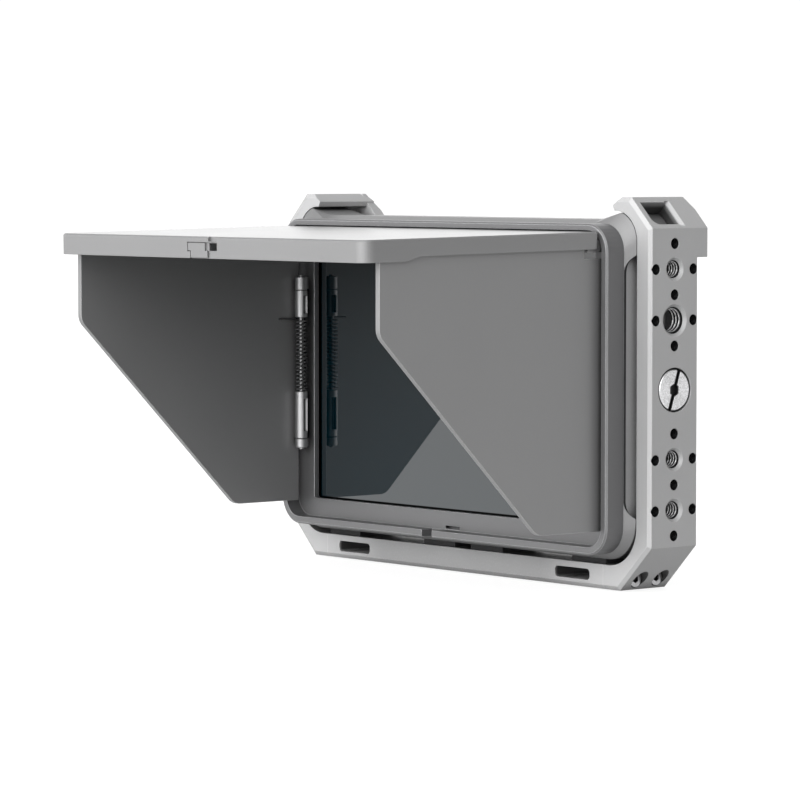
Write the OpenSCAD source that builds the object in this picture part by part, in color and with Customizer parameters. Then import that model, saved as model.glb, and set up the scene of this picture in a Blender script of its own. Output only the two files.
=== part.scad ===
// Camera field monitor held in a metal cage, with a folding metal sun hood.
// Millimetres. X runs along the screen, Y away from the viewer, Z up.
// The origin is the mouth of the tripod thread under the middle of the bar.

/* [Screen] */
// Width of the opening in front of the screen
screen_w = 159.8; // [152:0.2:164]
// Height of the opening in front of the screen
screen_h = 98; // [92:0.5:102]
// Width of the flat border beside the opening
bezel_side = 9.6; // [8.8:0.1:12]
// Width of the flat border above and below the opening
bezel_end = 6.9; // [6:0.1:9]

/* [Hood frame] */
// Thickness of the raised rim at the sides and bottom
rim_t = 2.8; // [2:0.1:4]
// Thickness of the raised rim along the top
rim_top_t = 2.3; // [1.8:0.1:3.5]
// How far the rim stands in front of the border
rim_lip = 6.05; // [5:0.05:7]
// Thickness of the border plate
bezel_t = 2.2; // [1.6:0.1:3]
// Outside radius of the frame corners
frame_r = 10; // [8:0.5:14]

/* [Cage] */
// Depth of the cage from front to back
cage_d = 23.2; // [21.6:0.2:30]
// Thickness of the two side arms
arm_t = 7; // [6:0.2:10]
// Thickness of the bottom bar
bar_h = 8.8; // [8:0.2:12]
// Gap between the bottom bar and the hood frame
bar_gap = 4.3; // [3.5:0.1:8]
// Size of the slope across each lower corner
low_slope = 16.1; // [14.5:0.1:18]
// Size of the slope across each upper corner
top_slope = 10.8; // [10:0.1:12]
// Height of the cage top over the hood frame
hook_rise = 9.3; // [8.6:0.1:14]
// How far each hook reaches in from the outside
hook_reach = 19.7; // [18.5:0.1:24]
// Thickness of each hook at its top
hook_t = 4.8; // [4:0.1:6]
// Radius inside each hook
hook_r = 11; // [9.5:0.1:11.4]
// Radius inside the lower corners
low_r = 14; // [11:0.5:15]
// Thickness of the lip behind each hook
tab_t = 4.5; // [3:0.1:7]
// Height of the lip behind each hook
tab_h = 21.2; // [18:0.2:24]

/* [Cage holes] */
// Distance from one locating hole to the next
hole_pitch = 18; // [17:0.5:18.5]
// Distance from the middle of an arm to the nearest locating hole
hole_start = 15.5; // [14.5:0.25:17]
// Radius of the small locating holes
pilot_r = 1.95; // [1.4:0.05:2.1]
// Radius of the small accessory threads
small_thread_r = 3.175; // [2.5:0.025:3.3]
// Radius of the large accessory thread
large_thread_r = 4.7625; // [4:0.0125:5]
// Radius of the slotted disc screws
disc_r = 7.55; // [6:0.05:8]

/* [Lid] */
// Height of the front wall of the lid
lid_front_h = 7.7; // [6.5:0.1:8.5]
// Height of the side walls behind the ramp
lid_side_h = 6.1; // [5:0.1:6.4]
// Thickness of the lid plate
lid_t = 1.2; // [1:0.1:1.8]
// Radius of the rolled rear edge about the hinge axis
lid_roll = 5; // [4.6:0.1:5.2]
// Radius of the front corners of the lid
lid_r = 4.8; // [3:0.2:7]
// Sag of the open lid below level, in degrees
lid_sag = 0.9; // [0:0.1:1.5]

/* [Side flaps] */
// Thickness of the side flaps
flap_t = 2; // [1.5:0.1:2.2]
// Height of the side flaps
flap_h = 102.2; // [92:0.2:103]
// Height of the front edge of a flap
flap_front = 30.8; // [24:0.5:45]
// Length of the bottom edge of a flap
flap_foot = 28; // [18:0.5:40]
// Distance from the front of the lid back to the flaps
flap_back = 7.8; // [4:0.1:14]
// Wire thickness of the flap springs
wire_d = 0.8; // [0.6:0.05:0.85]
// Number of turns in each flap spring
coil_turns = 19; // [12:1:19]

/* [Monitor] */
// How far the metal housing reaches behind the middle of the arms
housing_back = 5.3; // [4.3:0.1:8]
// Depth of the rear cover
cover_d = 6.5; // [5:0.5:14]
// Thickness of the cover glass
glass_t = 1.4; // [0.8:0.1:2]
// Width of the battery plate
plate_w = 42; // [36:0.5:60]
// Height of the battery plate
plate_h = 68; // [60:0.5:76]

/* [Hidden] */
$fn = 48;
tiny = 0.02;            // overrun of cuts
slip = 0.05;            // radial clearance of a turning pin
ease = 0.3;             // clearance between pieces that pass each other
edge = 0.6;             // common edge bevel

// Frame sizes worked out from the screen
frame_w = screen_w + 2 * (bezel_side + rim_t);
frame_h = screen_h + 2 * bezel_end + rim_t + rim_top_t;
frame_z0 = bar_h + bar_gap;
frame_z1 = frame_z0 + frame_h;
pocket_w = frame_w - 2 * rim_t;
pocket_z0 = frame_z0 + rim_t;
pocket_z1 = frame_z1 - rim_top_t;
screen_z = pocket_z0 + bezel_end + screen_h / 2;
frame_lead = 3.1;       // how far the frame's back lies in front of the arms
frame_y1 = -cage_d / 2 - frame_lead;
bezel_y = frame_y1 - bezel_t;
rim_y = bezel_y - rim_lip;
screen_r = 1.2;

// Cage sizes worked out from the frame
body_step = 3;          // the housing flares out to this far beyond the sides of the frame
top_step = 1.3;         // and this far above it
pad_t = 2.1;            // rubber pads between the bar and the housing
side_w = frame_w + 2 * body_step;
arm_in = side_w / 2 + ease;
cage_x = arm_in + arm_t;
cage_h = frame_z1 + hook_rise;
seam_in = 3.2;          // joint between bar and arm, inside the lower corner
seam_x = arm_in - low_r - seam_in;
bevel_x = 1.5;          // lit bevel along the outer edges, across the face
bevel_y = 0.8;          // and along the depth
slope_share = 0.6;      // how much of the bevel each corner slope gives up
mid_z = frame_z0 + frame_h / 2;
tip_cut = 4.3;          // slope on each hook tip, along the top
tip_drop = 2.9;         // and down its end
tip_in = 0.9;           // the underside starts this far behind the end
tab_in = 6;             // each rear lip reaches in this far beyond the hook tip
tab_slope = 9.7;        // slope across its upper inner corner
tab_cut = 2.6;          // slope across its upper rear edge, along the top
tab_fall = 6.3;         // and down the back
window_w = 13;
window_h = 10.9;
window_r = 3;
window_lead = 3.1;      // from the front of the arm to the window
window_up = -0.25;      // window centre above the middle of its slope
window_cut = 1.7;       // bevel along the rear edge of the window
pilot_deep = 5.5;
mouth = 1;              // countersink round each thread
disc_t = 3;
disc_gap = 0.35;
slot_w = 18.6;
slot_h = 4;
slot_r = 1.5;
slot_in = 16.4;         // from the joint of bar and arm to the middle of each slot
slot_x = seam_x - slot_in;
slot_z = 4.6;
cap_r = 2.75;           // socket cap screws that join arm and bar
cap_h = 3;
cap_in = 6.9;
shank_r = 1.5;
shank_in = 6;
cap_hex_r = 1.45;
cap_hex_h = 1.6;
cap_y = 5;
cap_z = 3.9;
bore_gap = 0.25;
disc_slot = 1.7;        // width of the slot across a disc screw
disc_hex_r = 2.4;
disc_reach = 6;         // how far a disc screw enters the housing
slot_turn = 72;         // direction of the slot, up from the depth axis
pad_w = 18;
pad_off = 1.3;          // from the tripod thread to the inner pads

// Hood sizes worked out from the frame
lid_gap = 0.6;
lid_w = pocket_w - 2 * lid_gap;
lid_wall = 1;
lid_front_t = 1.5;
roll_gap = 0.45;
lid_z1 = pocket_z1 - roll_gap;
hinge_z = lid_z1 - lid_roll;
lid_drop = 0.35;        // gap under the closed lid
lid_nest = 2;           // how far the closed front wall enters the rim
hinge_y = rim_y + lid_nest + lid_roll - lid_front_h - tiny;
lid_y0 = hinge_y - (hinge_z - pocket_z0 - lid_drop);
lid_lead = 1.5;         // full width ends this far in front of the rim, the rolled tongue goes on
lid_y1 = rim_y - lid_lead;
tongue_w = screen_w;
ramp_start = 17.9;      // the side walls rise from here to full clearance, from the front
ramp_end = 25.4;
ramp_n = 10;
ramp_y0 = lid_y0 + ramp_start;
ramp_y1 = lid_y0 + ramp_end;
lug_r = 2.2;
lug_t = 1.9;
lid_pin_r = 1;
bracket_t = 2;
bracket_gap = 0.35;
bracket_foot = 1.4;

// Flap sizes
flap_side = 0.4;        // clearance between a flap and the wall of the lid
flap_lead = 3.5;        // between a flap and the border
flap_x = lid_w / 2 - lid_wall - flap_side;
flap_gap = 0.5;
flap_y0 = lid_y0 + flap_back;
flap_z1 = lid_z1 - lid_t - (hinge_y - flap_y0) * sin(lid_sag) - flap_gap;
flap_z0 = flap_z1 - flap_h;
flap_y1 = bezel_y - flap_lead;
flap_r = 6;
notch_l = 8.9;
notch_h = 6.2;
barrel_r = 1.75;
pin_r = 0.9;
left_off = 5.2;         // flap outer face to hinge axis, left
right_off = 4.4;        // and right, so that the flaps fold one behind the other
left_lead = 4.4;        // hinge axis in front of the border, left
right_lead = 2.8;       // and right
left_axis = [-(flap_x - left_off), bezel_y - left_lead];
right_axis = [flap_x - right_off, bezel_y - right_lead];
round_share = 0.41;     // lifts the upper rounding of a flap onto its slanted edge
knuckle_top = 5;
knuckle_low = 3.5;
sleeve_top = 10.4;
sleeve_low = 18;
hinge_gap = 0.1;
hinge_up = 36.2;
hinge_down = 29.3;
hinge_z1 = mid_z + hinge_up;
hinge_z0 = mid_z - hinge_down;
coil_z0 = hinge_z0 + knuckle_low + sleeve_low + 2 * hinge_gap;
coil_z1 = hinge_z1 - knuckle_top - sleeve_top - 2 * hinge_gap;
left_coil_r = 2.15;
right_coil_r = 1.8;
coil_arm = 9;
left_lean = 1.6;        // each arm leans out to its flap by this angle
right_lean = 0.5;
coil_rings = 8;
coil_sides = 6;

// Latch sizes
latch_x0 = -9.4;        // long plate of the latch
latch_x1 = 0.4;
foot_x0 = -7.8;         // lower bar of the latch
foot_x1 = 1.9;
pocket_x1 = 7.6;        // right end of the shallow pocket round the latch
latch_z1 = lid_z1 - 2.3;
latch_zm = lid_z1 - 5;
latch_deep = 0.7;
latch_t = 0.6;
latch_run = 1.6;
stem_x = -4.6;
stem_w = 4.4;           // stem of the latch in its slot
peep_in = 0.3;          // open window beside the latch, in from the pocket
scoop_x0 = 2.6;         // scoop in the upper front edge of the lid
scoop_w = 4.6;
scoop_h = 1.7;
scoop_deep = 1;
catch_x0 = -2;          // catch in the lower border
catch_w = 8.2;
catch_up = 0.4;
catch_h = 1.2;
catch_deep = 1.8;
notch_x0 = -8.6;        // finger notch in the lower rim
notch_w = 5.9;
notch_deep = 5.2;

// Monitor sizes
housing_y1 = housing_back;
cover_y1 = housing_y1 + cover_d;
glass_edge = 1.4;
glass_back = 0.8;
glass_y0 = frame_y1 + glass_back;
panel_t = 2.4;
light_t = 3;
board_t = 1.6;
layer_gap = 0.1;
housing_z0 = bar_h + pad_t;
housing_z1 = frame_z1 + top_step;
flare_y = frame_y1 + frame_lead;
housing_wall = 2.4;
cell_w = screen_w + 2 * glass_edge;
cell_h = screen_h + 2 * glass_edge;
recess_h = 96.2;
recess_r = 8;
recess_lift = 0.95;
crest_turn = 75;        // the highest point of each upper corner, round the arc of the hook
crest_fall = 13.5;      // slope from there down to the top of the housing
board_w = 130;
board_h = 80;

// Rear cover and its screws
cover_inset = 1.2;
cover_w = frame_w;
cover_z0 = frame_z0;
cover_z1 = frame_z1 - cover_inset;
cover_wall = 2;
cover_bevel = 3.5;
vent_n = 9;
vent_w = 1.6;
vent_h = 14;
vent_step = 4;
screw_r = 2.2;
screw_h = 1.4;
screw_hex_r = 1.1;
screw_in = 3.9;         // from the hollow of the cover out to its screws
screw_up = 42;          // and from the middle of the screen up and down
screw_reach = 3.5;      // how far the screws enter the housing
cover_screw_spots = [for (sx = [-1, 1], sz = [-1, 1])
                       [sx * (cell_w / 2 + screw_in), screen_z + sz * screw_up]];

// Battery plate
plate_t = 3;
rail_t = 5;
rail_w = 3.4;
rail_lip = 2;
plate_y0 = cover_y1;
plate_y1 = plate_y0 + plate_t;
release_w = 12;
release_h = 7;
release_run = 2;
release_z = screen_z - plate_h / 2 + release_h + release_run;
blade_t = 0.8;

// Sockets and the power button
socket_t = 7;
video_w = 15;
video_h = 5.6;
video_in = 29.3;        // from the end of the hollow of the cover to the middle of the sockets
video_x = cell_w / 2 - video_in;
video_z = screen_z - cell_h / 3;
video_step = 13.4;
video_rim = 0.9;
power_in = 25.3;
power_x = cell_w / 2 - power_in;
power_r = 4;
power_bore_r = 2.8;
power_pin_r = 1;
button_in = 19.3;
button_x = cell_w / 2 - button_in;
button_z = screen_z - cell_h / 8;
button_r = 4;
button_run = 0.8;

// Shapes shared by several pieces

module round_rect(w, h, r) {
  square([w, h - 2 * r], center = true);
  square([w - 2 * r, h], center = true);
  for (sx = [-1, 1], sz = [-1, 1])
    translate([sx * (w / 2 - r), sz * (h / 2 - r)]) circle(r);
}

// Rounded rectangle from z0 to z1, centred in X
module round_panel(w, z0, z1, r) {
  translate([0, (z0 + z1) / 2]) round_rect(w, z1 - z0, r);
}

module between_y(y0, y1) {
  translate([0, y1, 0]) rotate([90, 0, 0]) linear_extrude(y1 - y0) children();
}

module between_x(x0, x1) {
  translate([x0, 0, 0]) rotate([90, 0, 90]) linear_extrude(x1 - x0) children();
}

module between_z(z0, z1) {
  translate([0, 0, z0]) linear_extrude(z1 - z0) children();
}

module rod_x(x0, x1, y, z, r) {
  translate([x0, y, z]) rotate([0, 90, 0]) cylinder(h = x1 - x0, r = r);
}

module cone_x(x0, x1, y, z, r0, r1) {
  translate([x0, y, z]) rotate([0, 90, 0]) cylinder(h = x1 - x0, r1 = r0, r2 = r1);
}

module rod_y(y0, y1, x, z, r) {
  translate([x, y1, z]) rotate([90, 0, 0]) cylinder(h = y1 - y0, r = r);
}

module rod_z(z0, z1, x, y, r) {
  translate([x, y, z0]) cylinder(h = z1 - z0, r = r);
}

module box(x0, x1, y0, y1, z0, z1) {
  translate([x0, y0, z0]) cube([x1 - x0, y1 - y0, z1 - z0]);
}

module both_sides() {
  children();
  mirror([1, 0, 0]) children();
}

// Cage

// Outside shape of the whole cage, drawn in by the given amount
module cage_outline(inset) {
  x = cage_x - inset;
  z0 = inset;
  z1 = cage_h - inset;
  low = low_slope - slope_share * inset;
  top = top_slope - slope_share * inset;
  polygon([[-x + low, z0], [x - low, z0], [x, z0 + low], [x, z1 - top],
           [x - top, z1], [-x + top, z1], [-x, z1 - top], [-x, z0 + low]]);
}

// Convex body that gives every outer edge of the cage its lit bevel
module cage_envelope(y0, y1) {
  hull() {
    between_y(y0, y1) cage_outline(bevel_x);
    between_y(y0 + bevel_y, y1 - bevel_y) cage_outline(0);
  }
}

// Space inside the cage: straight sides, round lower corners, round hooks
module cage_inside() {
  top = cage_h - hook_t;
  both_in_plane() {
    translate([-tiny, bar_h]) square([arm_in - low_r + tiny, top - bar_h]);
    translate([-tiny, bar_h + low_r]) square([arm_in + tiny, top - hook_r - bar_h - low_r]);
    translate([-tiny, bar_h + low_r]) square([arm_in - hook_r + tiny, top - bar_h - low_r]);
    translate([arm_in - low_r, bar_h + low_r]) circle(low_r);
    translate([arm_in - hook_r, top - hook_r]) circle(hook_r);
  }
}

module both_in_plane() {
  children();
  mirror([1, 0]) children();
}

// Face outline of the right arm with its hook and its foot
module arm_outline() {
  tip = cage_x - hook_reach;
  difference() {
    polygon([[seam_x, 0], [cage_x - low_slope, 0], [cage_x, low_slope], [cage_x, cage_h - top_slope],
             [cage_x - top_slope, cage_h], [tip + tip_cut, cage_h], [tip, cage_h - tip_drop],
             [tip + tip_in, cage_h - hook_t], [tip + tip_in, mid_z], [seam_x, mid_z]]);
    cage_inside();
  }
}

module thread_hole(z, r) {
  rod_x(arm_in - tiny, cage_x + tiny, 0, z, r);
  cone_x(cage_x - mouth, cage_x + tiny, 0, z, r, r + mouth);
}

module pilot_hole(y, z) {
  rod_x(cage_x - pilot_deep, cage_x + tiny, y, z, pilot_r);
}

// Accessory threads and locating holes on the outer face of an arm
module arm_holes() {
  half = hole_pitch / 2;
  up = mid_z + hole_start;
  down = mid_z - hole_start;
  for (k = [0 : 2]) {
    pilot_hole(0, up + k * hole_pitch);
    pilot_hole(0, down - k * hole_pitch);
  }
  for (k = [0 : 1], s = [-1, 1]) {
    pilot_hole(s * half, up + half + k * hole_pitch);
    pilot_hole(s * half, down - half - k * hole_pitch);
  }
  thread_hole(up + half, large_thread_r);
  thread_hole(up + half + hole_pitch, small_thread_r);
  thread_hole(down - half, small_thread_r);
  thread_hole(down - half - hole_pitch, small_thread_r);
  rod_x(arm_in - tiny, cage_x + tiny, 0, mid_z, small_thread_r + bore_gap);
  rod_x(cage_x - disc_t - disc_gap, cage_x + tiny, 0, mid_z, disc_r + disc_gap);
}

// Strap window through the upper slope, with one round corner and a bevel along its rear edge
module strap_window() {
  mid = top_slope / 2;
  y0 = window_lead - cage_d / 2;
  translate([cage_x - mid - window_up, y0, cage_h - mid + window_up]) rotate([0, 45, 0]) {
    translate([0, 0, -hook_r]) linear_extrude(2 * hook_r) window_outline();
    translate([0, window_w, 0]) rotate([45, 0, 0])
      cube([window_h + 2 * edge, window_cut, window_cut], center = true);
  }
}

module window_outline() {
  translate([-window_h / 2, window_r]) square([window_h, window_w - window_r]);
  translate([-window_h / 2, 0]) square([window_h - window_r, window_w]);
  translate([window_h / 2 - window_r, window_r]) circle(window_r);
}

module corner_screw_holes() {
  for (s = [-1, 1]) {
    rod_x(seam_x - tiny, cage_x, s * cap_y, cap_z, shank_r + bore_gap);
    rod_x(seam_x + cap_in, cage_x, s * cap_y, cap_z, cap_r + bore_gap);
  }
}

module arm() {
  difference() {
    union() {
      intersection() {
        between_y(-cage_d / 2, cage_d / 2) arm_outline();
        cage_envelope(-cage_d / 2, cage_d / 2);
      }
      hook_tab();
    }
    arm_holes();
    strap_window();
    corner_screw_holes();
  }
}

// Lip behind each hook, which holds the corner of the monitor from the back
module hook_tab() {
  y0 = cover_y1 + ease;
  y1 = y0 + tab_t;
  intersection() {
    union() {
      between_y(0, y1) arm_outline();
      between_y(y0, y1) tab_face();
    }
    cage_envelope(-cage_d, y1);
    between_x(0, cage_x) tab_side(y1);
  }
}

module tab_face() {
  x0 = cage_x - hook_reach - tab_in;
  z0 = cage_h - tab_h;
  polygon([[x0, z0], [cage_x, z0], [cage_x, cage_h], [x0 + tab_slope, cage_h], [x0, cage_h - tab_slope]]);
}

module tab_side(y1) {
  r = bevel_x;
  z0 = cage_h - tab_h;
  polygon([[0, z0], [y1 - r, z0], [y1, z0 + r], [y1, cage_h - tab_fall], [y1 - tab_cut, cage_h], [0, cage_h]]);
  translate([y1 - r, z0 + r]) circle(r);
}

module right_arm() {
  color("#a2a3a6") arm();
}

module left_arm() {
  color("#a2a3a6") mirror([1, 0, 0]) arm();
}

module bottom_bar() {
  color("#a6a7aa") difference() {
    intersection() {
      between_y(-cage_d / 2, cage_d / 2) translate([-seam_x, 0]) square([2 * seam_x, bar_h]);
      cage_envelope(-cage_d / 2, cage_d / 2);
    }
    for (s = [-1, 1])
      between_y(-cage_d, cage_d) translate([s * slot_x, slot_z]) round_rect(slot_w, slot_h, slot_r);
    rod_z(-tiny, bar_h + tiny, 0, 0, small_thread_r);
    for (s = [-1, 1]) {
      rod_z(-tiny, pilot_deep, s * hole_pitch / 2, 0, pilot_r);
      both_sides() rod_x(seam_x - shank_in - edge, seam_x + tiny, s * cap_y, cap_z, shank_r);
    }
  }
}

// Socket cap screws that draw each arm onto the bar
module cap_screw(y) {
  head = seam_x + cap_in;
  difference() {
    union() {
      rod_x(head, head + cap_h, y, cap_z, cap_r);
      rod_x(seam_x - shank_in, head + tiny, y, cap_z, shank_r - slip);
    }
    translate([head + cap_h - cap_hex_h, y, cap_z]) rotate([0, 90, 0])
      cylinder(h = cap_hex_h + tiny, r = cap_hex_r, $fn = 6);
  }
}

module corner_screws() {
  color("#8d8f92") both_sides() for (s = [-1, 1]) cap_screw(s * cap_y);
}

// Slotted disc screws that hold the monitor between the arms
module disc_screw() {
  face = cage_x;
  hub_r = small_thread_r - slip;
  difference() {
    union() {
      rod_x(face - disc_t, face - edge, 0, mid_z, disc_r);
      cone_x(face - edge - tiny, face, 0, mid_z, disc_r, disc_r - edge);
      rod_x(side_w / 2 - disc_reach, face - disc_t + tiny, 0, mid_z, hub_r);
    }
    translate([face, 0, mid_z]) rotate([slot_turn, 0, 0])
      box(-disc_t / 2, tiny, -disc_r - tiny, disc_r + tiny, -disc_slot / 2, disc_slot / 2);
    translate([face - disc_t + edge, 0, mid_z]) rotate([0, 90, 0])
      cylinder(h = disc_t, r = disc_hex_r, $fn = 6);
  }
}

module disc_screws() {
  color("#b9babd") both_sides() disc_screw();
}

// Rubber pads between the bar and the monitor
module bar_pads() {
  pad_d = cage_d - 2 * bevel_x;
  color("#2a2b2d") both_sides() for (x = [small_thread_r + pad_off, seam_x - pad_w])
    box(x, x + pad_w, -pad_d / 2, pad_d / 2, bar_h, housing_z0);
}

// Hood frame

module frame_body() {
  hull() {
    between_y(rim_y, frame_y1) round_panel(frame_w - 2 * edge, frame_z0 + edge, frame_z1 - edge,
                                           frame_r - edge, $fn = 32);
    between_y(rim_y + edge, frame_y1) round_panel(frame_w, frame_z0, frame_z1, frame_r, $fn = 32);
  }
}

module hood_frame() {
  catch_z = pocket_z0 + catch_up;
  color("#969799") difference() {
    frame_body();
    between_y(rim_y - tiny, bezel_y)
      round_panel(pocket_w, pocket_z0, pocket_z1, frame_r - rim_t);
    between_y(rim_y, frame_y1 + tiny)
      round_panel(screen_w, screen_z - screen_h / 2, screen_z + screen_h / 2, screen_r);
    box(catch_x0, catch_x0 + catch_w, bezel_y - tiny, bezel_y + catch_deep, catch_z, catch_z + catch_h);
    box(notch_x0, notch_x0 + notch_w, rim_y - tiny, rim_y + notch_deep, frame_z0 - tiny, pocket_z0 + tiny);
  }
}

// Lid

module lid_outline(inset) {
  w = lid_w - 2 * inset;
  r = max(lid_r - inset, edge);
  y0 = lid_y0 + inset;
  y1 = lid_y1;
  translate([-w / 2, y0 + r]) square([w, y1 - y0 - r]);
  translate([-w / 2 + r, y0]) square([w - 2 * r, y1 - y0]);
  for (s = [-1, 1]) translate([s * (w / 2 - r), y0 + r]) circle(r);
}

module lid_pan() {
  z0 = lid_z1 - lid_front_h;
  difference() {
    hull() {
      between_z(z0, lid_z1 - edge) lid_outline(0, $fn = 32);
      between_z(z0, lid_z1) lid_outline(edge, $fn = 32);
    }
    difference() {
      between_z(z0 - tiny, lid_z1 - lid_t) lid_outline(lid_wall);
      box(-lid_w, lid_w, lid_y0, lid_y0 + lid_front_t, z0 - lid_front_h, lid_z1);
    }
    box(-lid_w / 2 + lid_wall, lid_w / 2 - lid_wall, lid_y1 - lid_roll, lid_y1 + tiny,
        z0 - tiny, lid_z1 - lid_t);
    between_x(-lid_w, lid_w)
      polygon(concat([[ramp_y0, z0 - tiny]], ramp_line(z0, lid_z1 - lid_side_h),
                     [[lid_y1 + tiny, lid_z1 - lid_side_h], [lid_y1 + tiny, z0 - tiny]]));
  }
}

// Soft rise of the side walls from the height of the front wall to their own
function ramp_line(za, zb) =
  [for (k = [0 : ramp_n]) [ramp_y0 + (ramp_y1 - ramp_y0) * k / ramp_n,
                           za + (zb - za) * (1 - cos(180 * k / ramp_n)) / 2]];

// Rolled tongue of the lid, concentric with the hinge so that it clears the rim as it turns
module lid_tongue() {
  between_x(-tongue_w / 2, tongue_w / 2) {
    difference() {
      translate([hinge_y, hinge_z]) circle(lid_roll);
      translate([hinge_y, hinge_z]) circle(lid_roll - lid_t);
      translate([hinge_y - 2 * lid_roll, hinge_z - 2 * lid_roll]) square([4 * lid_roll, 2 * lid_roll]);
      translate([hinge_y - 2 * lid_roll, hinge_z]) square([2 * lid_roll, 2 * lid_roll]);
    }
    translate([lid_y1 - lid_t, lid_z1 - lid_t]) square([hinge_y - lid_y1 + lid_t + tiny, lid_t]);
  }
}

// Lugs inside the side walls that turn on the lid pins
module lid_lug() {
  x1 = lid_w / 2 - lid_wall;
  difference() {
    union() {
      rod_x(x1 - lug_t, x1, hinge_y, hinge_z, lug_r);
      box(x1 - lug_t, x1 + tiny, hinge_y - 2 * lug_r, hinge_y, hinge_z - lug_r, hinge_z + lug_r);
      box(x1 - lug_t, x1 + tiny, hinge_y - 2 * lug_r, lid_y1, hinge_z, lid_z1 - lid_t + tiny);
    }
    rod_x(x1 - lug_t - tiny, x1 + tiny, hinge_y, hinge_z, lid_pin_r + slip);
    box(x1 - tiny, x1 + lid_wall, lid_y1, hinge_y + lug_r, hinge_z - lid_roll, hinge_z + lid_roll);
  }
}

// The open lid sags a little about its hinge
module sagged() {
  translate([0, hinge_y, hinge_z]) rotate([lid_sag, 0, 0]) translate([0, -hinge_y, -hinge_z]) children();
}

module lid() {
  color("#adaeb1") sagged() difference() {
    union() {
      lid_pan();
      lid_tongue();
      both_sides() lid_lug();
    }
    latch_cuts();
  }
}

// Shallow pocket round the latch with a fixed stop at its lower right, a slot for the stem,
// an open window beside the latch and a scoop in the upper edge
module latch_cuts() {
  z0 = lid_z1 - lid_front_h;
  y1 = lid_y0 + latch_deep;
  stop_x0 = foot_x1 + latch_run + ease;
  wz = (latch_z1 + latch_zm) / 2;
  box(latch_x0 - ease, pocket_x1, lid_y0 - lid_front_t, y1, latch_zm - ease, latch_z1 + ease);
  box(foot_x0 - ease, stop_x0, lid_y0 - lid_front_t, y1, z0 - lid_front_t, latch_zm);
  box(latch_x1 + latch_run + peep_in, pocket_x1 - peep_in, lid_y0 - tiny, lid_y0 + 2 * lid_front_t,
      latch_zm, latch_z1);
  box(stem_x - stem_w / 2 - ease, stem_x + stem_w / 2 + latch_run + ease, lid_y0, lid_y0 + 2 * lid_front_t,
      wz - edge - ease, wz + edge + ease);
  box(scoop_x0, scoop_x0 + scoop_w, lid_y0 - lid_front_t, lid_y0 + scoop_deep, lid_z1 - scoop_h, lid_z1 + tiny);
}

module lid_bracket() {
  x1 = lid_w / 2 - lid_wall - lug_t - bracket_gap;
  x0 = x1 - bracket_t;
  difference() {
    union() {
      rod_x(x0, x1, hinge_y, hinge_z, lug_r);
      box(x0, x1, hinge_y, bezel_y, hinge_z - lug_r, hinge_z + lug_r);
      box(x0 - bracket_t, x1, bezel_y - bracket_foot, bezel_y, hinge_z - lug_r, hinge_z + lug_r);
    }
    rod_x(x0 - tiny, x1 + tiny, hinge_y, hinge_z, lid_pin_r);
  }
}

module lid_brackets() {
  color("#7d7e81") both_sides() lid_bracket();
}

module lid_pins() {
  x1 = lid_w / 2 - lid_wall;
  color("#c3c4c7") both_sides()
    rod_x(x1 - lug_t - bracket_gap - bracket_t, x1 - tiny, hinge_y, hinge_z, lid_pin_r);
}

// Sliding latch in the front wall, held by a keeper behind it
module lid_latch() {
  z0 = lid_z1 - lid_front_h;
  y1 = lid_y0 + latch_deep - tiny;
  wz = (latch_z1 + latch_zm) / 2;
  yb = lid_y0 + lid_front_t + hinge_gap;
  color("#9fa0a3") sagged() {
    box(latch_x0, latch_x1, y1 - latch_t, y1, latch_zm, latch_z1);
    box(foot_x0, foot_x1, y1 - latch_t, y1, z0 + ease, latch_zm + tiny);
    box(stem_x - stem_w / 2, stem_x + stem_w / 2, y1 - latch_t, yb + latch_t, wz - edge, wz + edge);
    box(stem_x - stem_w, stem_x + stem_w, yb, yb + latch_t, wz - 2 * edge, wz + 2 * edge);
  }
}

// Flaps, drawn in their own plane: forward along the first axis, up along the second

module flap_outline() {
  f = flap_r;
  corner_z = flap_z1 - flap_front;
  foot_y = flap_y1 - flap_foot;
  difference() {
    hull() {
      translate([flap_y0, flap_z1 - edge]) square([edge, edge]);
      translate([flap_y0 + f, corner_z + f * round_share]) circle(f);
      translate([foot_y, flap_z0 + f]) circle(f);
      translate([flap_y1 - edge, flap_z0]) square([edge, edge]);
      translate([flap_y1 - edge, flap_z1 - edge]) square([edge, edge]);
    }
    translate([flap_y1 - notch_l, flap_z1 - notch_h]) square([2 * notch_l, 2 * notch_h]);
  }
}

module flap() {
  color("#77787b") between_x(flap_x - flap_t, flap_x) flap_outline();
}

module right_flap() {
  flap();
}

module left_flap() {
  mirror([1, 0, 0]) flap();
}

// Hinge pieces about a vertical axis at c, on the side given by s

module knuckles(c) {
  for (span = [[hinge_z0, hinge_z0 + knuckle_low], [hinge_z1 - knuckle_top, hinge_z1]])
    difference() {
      union() {
        rod_z(span[0], span[1], c[0], c[1], barrel_r);
        box(c[0] - barrel_r, c[0] + barrel_r, c[1], bezel_y, span[0], span[1]);
      }
      rod_z(span[0] - tiny, span[1] + tiny, c[0], c[1], pin_r);
    }
}

module sleeves(c, s) {
  low = hinge_z0 + knuckle_low + hinge_gap;
  high = hinge_z1 - knuckle_top - hinge_gap;
  wall = flap_x - flap_t;
  a = min(s * wall, c[0]);
  b = max(s * wall, c[0]);
  for (span = [[low, low + sleeve_low], [high - sleeve_top, high]])
    difference() {
      union() {
        rod_z(span[0], span[1], c[0], c[1], barrel_r);
        box(a, b, c[1] - barrel_r, c[1], span[0], span[1]);
      }
      rod_z(span[0] - tiny, span[1] + tiny, c[0], c[1], pin_r + slip);
      box(c[0] - s * barrel_r - edge / 2, c[0] - s * barrel_r + edge / 2, c[1] - edge, c[1] + edge,
          span[0] + 2 * edge, span[1] - 2 * edge);
    }
}

module hinge_pin(c) {
  rod_z(hinge_z0 - edge, hinge_z1 + edge, c[0], c[1], pin_r);
}

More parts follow.
